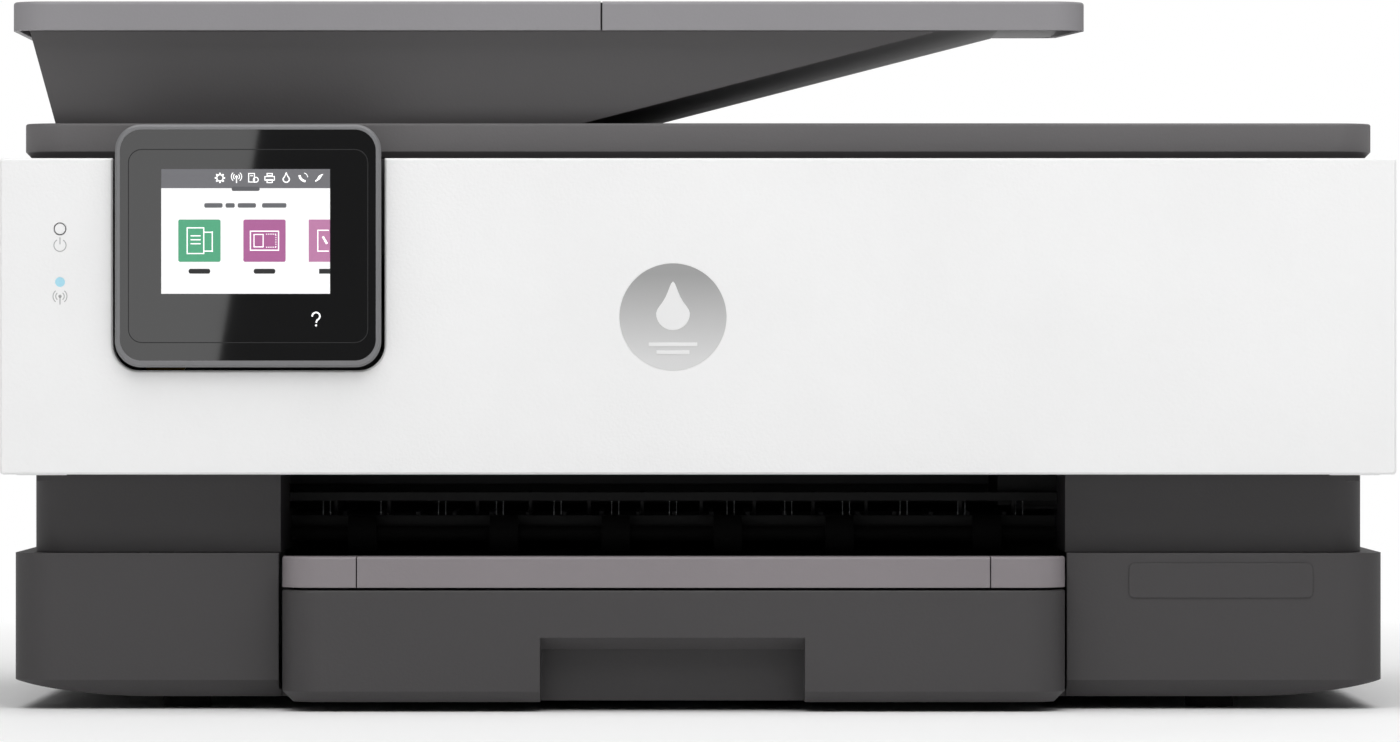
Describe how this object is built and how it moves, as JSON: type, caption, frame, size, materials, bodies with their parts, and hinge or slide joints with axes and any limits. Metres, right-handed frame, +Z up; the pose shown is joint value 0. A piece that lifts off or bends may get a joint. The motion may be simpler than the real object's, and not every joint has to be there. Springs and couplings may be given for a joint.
{
  "type": "inkjet printer",
  "caption": "All-in-one inkjet printer with a flatbed scanner, document feeder, tilting touch panel, pull-out paper tray and an ink door.",
  "frame": {"origin": "on the floor, under the centre of the printer's box", "axes": "+X right, +Y to the back, +Z up"},
  "size_m": [0.46, 0.341, 0.234],
  "materials": {
    "charcoal_plastic": "fine moulded texture",
    "white_plastic": "fine moulded texture",
    "grey_plastic": "fine moulded texture",
    "black_plastic": "moulded",
    "guide_plastic": "moulded",
    "rubber": "ground",
    "black_steel": "satin",
    "emblem_paint": "satin",
    "sheet_steel": "galvanised",
    "polished_steel": "ground and polished",
    "brass": "sintered",
    "silver_paint": "satin",
    "black_glass": "polished",
    "clear_glass": "polished",
    "lens": "frosted",
    "white_foam": "smooth sheet",
    "circuit_board": "solder mask",
    "black_label": "moulded",
    "cyan_label": "moulded",
    "magenta_label": "moulded",
    "yellow_label": "moulded"
  },
  "bodies": {
    "chassis": {"base_tub": "charcoal_plastic", "rubber_feet": "rubber", "nameplate": "black_plastic", "middle_housing": "charcoal_plastic", "left_side_panel": "white_plastic", "right_side_panel": "white_plastic", "rear_cover": "charcoal_plastic", "mechanism_frame": "black_steel", "carriage_rod": "polished_steel", "carriage_belt": "rubber", "carriage_motor": "sheet_steel", "platen": "black_plastic", "feed_motor": "sheet_steel", "feed_belt": "rubber", "star_wheel_bar": "black_plastic", "scanner_bed": "charcoal_plastic", "scanner_glass": "clear_glass", "scan_rod": "polished_steel", "service_station": "black_plastic", "power_supply": "sheet_steel", "power_inlet": "black_plastic", "main_board": "circuit_board", "data_sockets": "black_plastic"},
    "front_door": {"front_door": "white_plastic", "door_liner": "black_plastic", "door_emblem": "emblem_paint", "wireless_light": "lens"},
    "power_button": {"power_button": "white_plastic"},
    "control_panel": {"panel_back": "black_plastic", "panel_frame": "silver_paint", "touch_glass": "black_glass", "display_module": "black_glass"},
    "scanner_lid": {"scanner_lid": "charcoal_plastic", "lid_backing": "white_foam", "feeder_body": "charcoal_plastic"},
    "feeder_cover": {"feeder_cover": "grey_plastic"},
    "document_tray": {"document_tray": "grey_plastic"},
    "document_guide_front": {"document_guide_front": "guide_plastic"},
    "document_guide_rear": {"document_guide_rear": "guide_plastic"},
    "feeder_pick_roller": {"feeder_pick_roller": "rubber"},
    "feeder_transport_roller": {"feeder_transport_roller": "rubber"},
    "paper_tray": {"tray_body": "black_plastic", "tray_front": "charcoal_plastic"},
    "paper_guide_left": {"paper_guide_left": "guide_plastic"},
    "paper_guide_right": {"paper_guide_right": "guide_plastic"},
    "paper_length_guide": {"paper_length_guide": "guide_plastic"},
    "output_tray": {"output_tray": "grey_plastic"},
    "output_extender": {"output_extender": "grey_plastic"},
    "print_carriage": {"print_carriage": "black_plastic"},
    "black_cartridge": {"black_cartridge": "black_label"},
    "cyan_cartridge": {"cyan_cartridge": "cyan_label"},
    "magenta_cartridge": {"magenta_cartridge": "magenta_label"},
    "yellow_cartridge": {"yellow_cartridge": "yellow_label"},
    "scan_head": {"scan_head": "black_plastic"},
    "feed_roller": {"feed_roller": "rubber"},
    "feed_motor_pulley": {"feed_motor_pulley": "brass"},
    "eject_roller": {"eject_roller": "rubber"},
    "drive_pulley": {"drive_pulley": "brass"},
    "idler_pulley": {"idler_pulley": "brass"},
    "rear_access_door": {"rear_access_door": "charcoal_plastic"}
  },
  "joints": [
    {"name": "front_door_hinge", "type": "hinge", "parent": "chassis", "child": "front_door", "pos_m": [0, -0.1515, 0.0785], "axis": [1, 0, 0], "range_deg": [0, 85]},
    {"name": "power_button_press", "type": "slide", "parent": "front_door", "child": "power_button", "axis": [0, 1, 0], "range_m": [0, 0.0008], "stiffness_N_per_m": 250},
    {"name": "control_panel_tilt", "type": "hinge", "parent": "chassis", "child": "control_panel", "pos_m": [-0.14805, -0.152, 0.178], "axis": [-1, 0, 0], "range_deg": [0, 35]},
    {"name": "scanner_lid_hinge", "type": "hinge", "parent": "chassis", "child": "scanner_lid", "pos_m": [0, 0.157, 0.185], "axis": [-1, 0, 0], "range_deg": [0, 70]},
    {"name": "feeder_cover_hinge", "type": "hinge", "parent": "scanner_lid", "child": "feeder_cover", "pos_m": [-0.2255, 0, 0.2262], "axis": [0, -1, 0], "range_deg": [0, 80]},
    {"name": "document_tray_hinge", "type": "hinge", "parent": "scanner_lid", "child": "document_tray", "pos_m": [-0.031, 0, 0.2338], "axis": [0, -1, 0], "range_deg": [0, 40]},
    {"name": "document_guide_front_slide", "type": "slide", "parent": "scanner_lid", "child": "document_guide_front", "axis": [0, 1, 0], "range_m": [0, 0.04]},
    {"name": "document_guide_rear_slide", "type": "slide", "parent": "scanner_lid", "child": "document_guide_rear", "axis": [0, 1, 0], "range_m": [-0.04, 0]},
    {"name": "feeder_pick_spin", "type": "hinge", "parent": "scanner_lid", "child": "feeder_pick_roller", "pos_m": [-0.08, 0, 0.2159], "axis": [0, 1, 0], "continuous": true},
    {"name": "feeder_transport_spin", "type": "hinge", "parent": "scanner_lid", "child": "feeder_transport_roller", "pos_m": [-0.13, 0, 0.2159], "axis": [0, 1, 0], "continuous": true},
    {"name": "paper_tray_slide", "type": "slide", "parent": "chassis", "child": "paper_tray", "axis": [0, -1, 0], "range_m": [0, 0.2]},
    {"name": "paper_guide_left_slide", "type": "slide", "parent": "paper_tray", "child": "paper_guide_left", "axis": [1, 0, 0], "range_m": [0, 0.05]},
    {"name": "paper_guide_right_slide", "type": "slide", "parent": "paper_tray", "child": "paper_guide_right", "axis": [1, 0, 0], "range_m": [-0.05, 0]},
    {"name": "paper_length_guide_slide", "type": "slide", "parent": "paper_tray", "child": "paper_length_guide", "axis": [0, 1, 0], "range_m": [0, 0.09]},
    {"name": "output_tray_slide", "type": "slide", "parent": "chassis", "child": "output_tray", "axis": [0, -1, 0], "range_m": [0, 0.12]},
    {"name": "output_extender_slide", "type": "slide", "parent": "output_tray", "child": "output_extender", "axis": [0, -1, 0], "range_m": [0, 0.08]},
    {"name": "carriage_slide", "type": "slide", "parent": "chassis", "child": "print_carriage", "axis": [-1, 0, 0], "range_m": [0, 0.28]},
    {"name": "black_cartridge_slide", "type": "slide", "parent": "print_carriage", "child": "black_cartridge", "axis": [0, -1, 0], "range_m": [0, 0.065]},
    {"name": "cyan_cartridge_slide", "type": "slide", "parent": "print_carriage", "child": "cyan_cartridge", "axis": [0, -1, 0], "range_m": [0, 0.065]},
    {"name": "magenta_cartridge_slide", "type": "slide", "parent": "print_carriage", "child": "magenta_cartridge", "axis": [0, -1, 0], "range_m": [0, 0.065]},
    {"name": "yellow_cartridge_slide", "type": "slide", "parent": "print_carriage", "child": "yellow_cartridge", "axis": [0, -1, 0], "range_m": [0, 0.065]},
    {"name": "scan_head_slide", "type": "slide", "parent": "chassis", "child": "scan_head", "axis": [1, 0, 0], "range_m": [0, 0.31]},
    {"name": "feed_roller_spin", "type": "hinge", "parent": "chassis", "child": "feed_roller", "pos_m": [0, 0.042, 0.057], "axis": [1, 0, 0], "continuous": true},
    {"name": "feed_motor_spin", "type": "hinge", "parent": "chassis", "child": "feed_motor_pulley", "pos_m": [-0.19, 0.095, 0.057], "axis": [1, 0, 0], "continuous": true},
    {"name": "eject_roller_spin", "type": "hinge", "parent": "chassis", "child": "eject_roller", "pos_m": [0, -0.07, 0.0566], "axis": [1, 0, 0], "continuous": true},
    {"name": "drive_pulley_spin", "type": "hinge", "parent": "chassis", "child": "drive_pulley", "pos_m": [-0.187, 0, 0.112], "axis": [0, 1, 0], "continuous": true},
    {"name": "idler_pulley_spin", "type": "hinge", "parent": "chassis", "child": "idler_pulley", "pos_m": [0.187, 0, 0.112], "axis": [0, 1, 0], "continuous": true},
    {"name": "rear_access_hinge", "type": "hinge", "parent": "chassis", "child": "rear_access_door", "pos_m": [0, 0.1687, 0.0665], "axis": [-1, 0, 0], "range_deg": [0, 60]}
  ],
  "couplings": [
    {"joint": "document_guide_rear_slide", "follows": "document_guide_front_slide", "ratio": -1},
    {"joint": "paper_guide_right_slide", "follows": "paper_guide_left_slide", "ratio": -1},
    {"joint": "feeder_transport_spin", "follows": "feeder_pick_spin", "ratio": 1.1111},
    {"joint": "feed_motor_spin", "follows": "feed_roller_spin", "ratio": 3.2},
    {"joint": "eject_roller_spin", "follows": "feed_roller_spin", "ratio": 1.3333},
    {"joint": "drive_pulley_spin", "follows": "carriage_slide", "rad_per_m": -142.86},
    {"joint": "idler_pulley_spin", "follows": "carriage_slide", "rad_per_m": -142.86}
  ]
}
